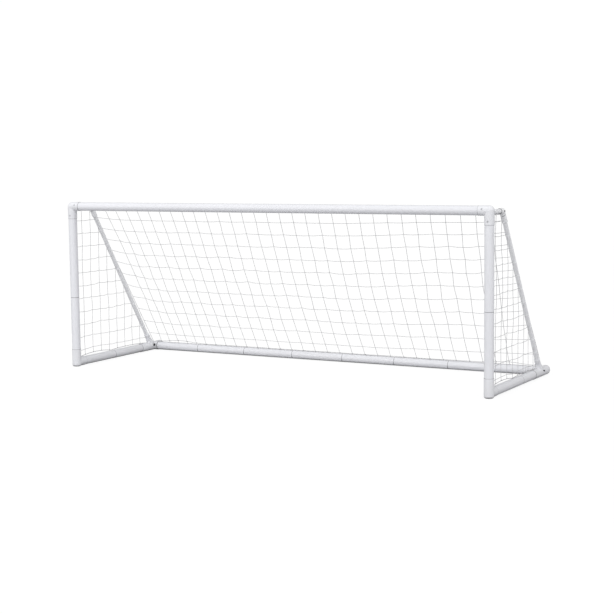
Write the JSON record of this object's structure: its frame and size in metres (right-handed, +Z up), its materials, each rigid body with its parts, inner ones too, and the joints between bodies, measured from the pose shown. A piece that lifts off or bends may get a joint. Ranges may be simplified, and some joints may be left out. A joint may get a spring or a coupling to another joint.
{
  "type": "soccer goal frame",
  "caption": "Push-together white plastic tube goal with corner fittings, rear tees, slanted side stays, sprung lock buttons and a corded net on the roof, back and sides.",
  "frame": {"origin": "middle of the box around the whole goal, on the ground", "axes": "+X to the right along the crossbar seen from the front, +Y from the mouth back into the goal, +Z up"},
  "size_m": [3.6806, 1.2599, 1.342],
  "materials": {
    "white_tube": "gloss white pipe",
    "white_fitting": "moulded white, slightly softer gloss than the tubes",
    "white_button": "satin white",
    "black_bolt": "black coated steel",
    "net_cord": "twisted white cord"
  },
  "bodies": {
    "goal_frame": {"corner_top_left": "white_fitting", "corner_bottom_left": "white_fitting", "rear_tee_left": "white_fitting", "tee_cap_left": "white_fitting", "stay_elbow_left": "white_fitting", "post_lower_left": "white_tube", "post_upper_left": "white_tube", "side_rail_front_left": "white_tube", "side_rail_rear_left": "white_tube", "top_stub_left": "white_tube", "stay_left": "white_tube", "elbow_bolt_left": "black_bolt", "elbow_nut_left": "black_bolt", "tee_bolt_left": "black_bolt", "tee_nut_left": "black_bolt", "net_side_left": "net_cord", "corner_top_right": "white_fitting", "corner_bottom_right": "white_fitting", "rear_tee_right": "white_fitting", "tee_cap_right": "white_fitting", "stay_elbow_right": "white_fitting", "post_lower_right": "white_tube", "post_upper_right": "white_tube", "side_rail_front_right": "white_tube", "side_rail_rear_right": "white_tube", "top_stub_right": "white_tube", "stay_right": "white_tube", "elbow_bolt_right": "black_bolt", "elbow_nut_right": "black_bolt", "tee_bolt_right": "black_bolt", "tee_nut_right": "black_bolt", "net_side_right": "net_cord", "crossbar": "white_tube", "rear_rail_1": "white_tube", "rear_rail_2": "white_tube", "rear_rail_3": "white_tube", "rear_rail_4": "white_tube", "rear_rail_5": "white_tube", "rear_rail_6": "white_tube", "rear_rail_7": "white_tube", "net_roof": "net_cord", "net_back": "net_cord"},
    "lock_button_post_left": {"lock_button_post_left": "white_button"},
    "lock_button_bar_left": {"lock_button_bar_left": "white_button"},
    "lock_button_stay_left": {"lock_button_stay_left": "white_button"},
    "lock_button_post_right": {"lock_button_post_right": "white_button"},
    "lock_button_bar_right": {"lock_button_bar_right": "white_button"},
    "lock_button_stay_right": {"lock_button_stay_right": "white_button"}
  },
  "joints": [
    {"name": "press_post_left", "type": "slide", "parent": "goal_frame", "child": "lock_button_post_left", "axis": [0, -1, 0], "range_m": [-0.005, 0], "stiffness_N_per_m": 1500, "springref_m": 0.003},
    {"name": "press_bar_left", "type": "slide", "parent": "goal_frame", "child": "lock_button_bar_left", "axis": [0, -0.9397, 0.342], "range_m": [-0.005, 0], "stiffness_N_per_m": 1500, "springref_m": 0.003},
    {"name": "press_stay_left", "type": "slide", "parent": "goal_frame", "child": "lock_button_stay_left", "axis": [1, 0, 0], "range_m": [-0.0035, 0], "stiffness_N_per_m": 1000, "springref_m": 0.002},
    {"name": "press_post_right", "type": "slide", "parent": "goal_frame", "child": "lock_button_post_right", "axis": [0, -1, 0], "range_m": [-0.005, 0], "stiffness_N_per_m": 1500, "springref_m": 0.003},
    {"name": "press_bar_right", "type": "slide", "parent": "goal_frame", "child": "lock_button_bar_right", "axis": [0, -0.9397, 0.342], "range_m": [-0.005, 0], "stiffness_N_per_m": 1500, "springref_m": 0.003},
    {"name": "press_stay_right", "type": "slide", "parent": "goal_frame", "child": "lock_button_stay_right", "axis": [-1, 0, 0], "range_m": [-0.0035, 0], "stiffness_N_per_m": 1000, "springref_m": 0.002}
  ]
}
